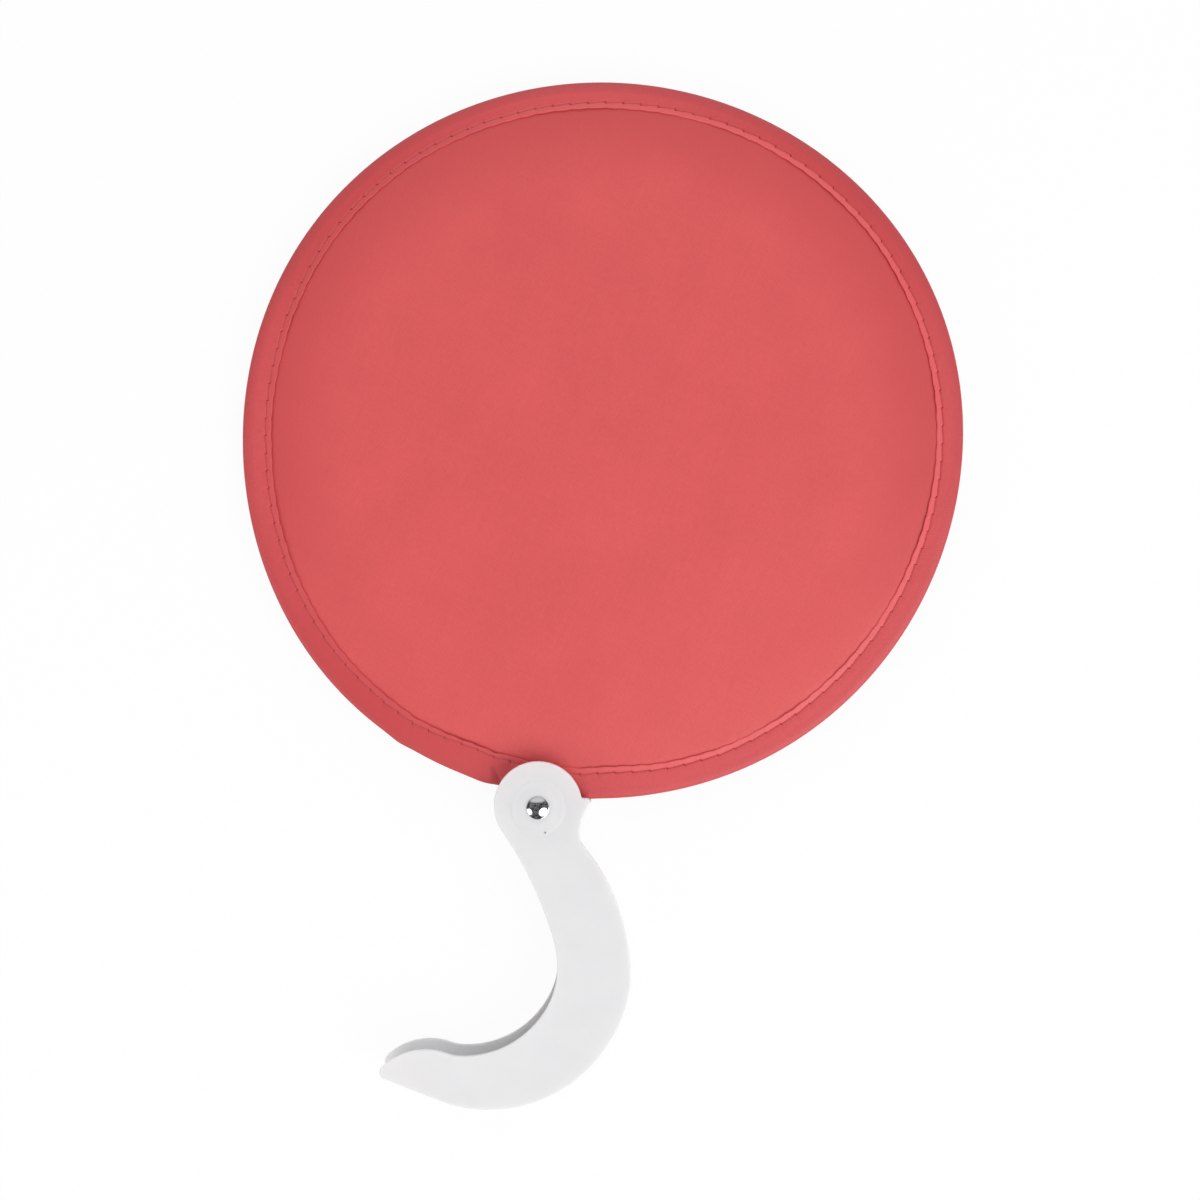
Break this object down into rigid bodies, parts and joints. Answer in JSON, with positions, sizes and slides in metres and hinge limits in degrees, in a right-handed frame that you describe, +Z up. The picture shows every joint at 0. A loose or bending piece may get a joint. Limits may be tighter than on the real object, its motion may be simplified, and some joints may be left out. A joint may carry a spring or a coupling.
{
  "type": "twist-fold hand fan",
  "caption": "Round fabric fan on a spring-steel hoop that folds by twisting, riveted to a hook-shaped white plastic grip with an open channel.",
  "frame": {"origin": "centre of the fan's bounding box seen from the front, on the flat surface that it lies on", "axes": "+X to the right and +Y from the grip to the top of the disc as seen from the front, +Z up out of the front face and along the rivet"},
  "size_m": [0.245, 0.3481, 0.0183],
  "materials": {
    "grip_plastic": "satin white moulded plastic",
    "rivet_chrome": "mirror-polished chrome plate",
    "rivet_nickel": "nickel plate",
    "hub_nylon": "natural white nylon",
    "spring_steel": "bare spring steel strip",
    "ferrule_steel": "tinned sheet steel",
    "binding_cloth": "coral red bias tape, fine weave",
    "panel_cloth": "coral red lining cloth, fine weave with a soft sheen",
    "seam_thread": "red polyester sewing thread"
  },
  "bodies": {
    "handle": {"handle_front_shell": "grip_plastic", "handle_rear_shell": "grip_plastic", "rivet_front_cap": "rivet_chrome", "rivet_rear_cap": "rivet_nickel"},
    "disc": {"pivot_hub_front_half": "hub_nylon", "pivot_hub_rear_half": "hub_nylon", "spring_hoop": "spring_steel", "hoop_ferrule": "ferrule_steel", "rim_binding": "binding_cloth", "disc_panel": "panel_cloth", "needle_thread": "seam_thread", "bobbin_thread": "seam_thread"}
  },
  "joints": [
    {"name": "disc_swing", "type": "hinge", "parent": "handle", "child": "disc", "pos_m": [-0.02123, -0.0726, 0.008], "axis": [0, 0, 1], "range_deg": [0, 102]}
  ]
}
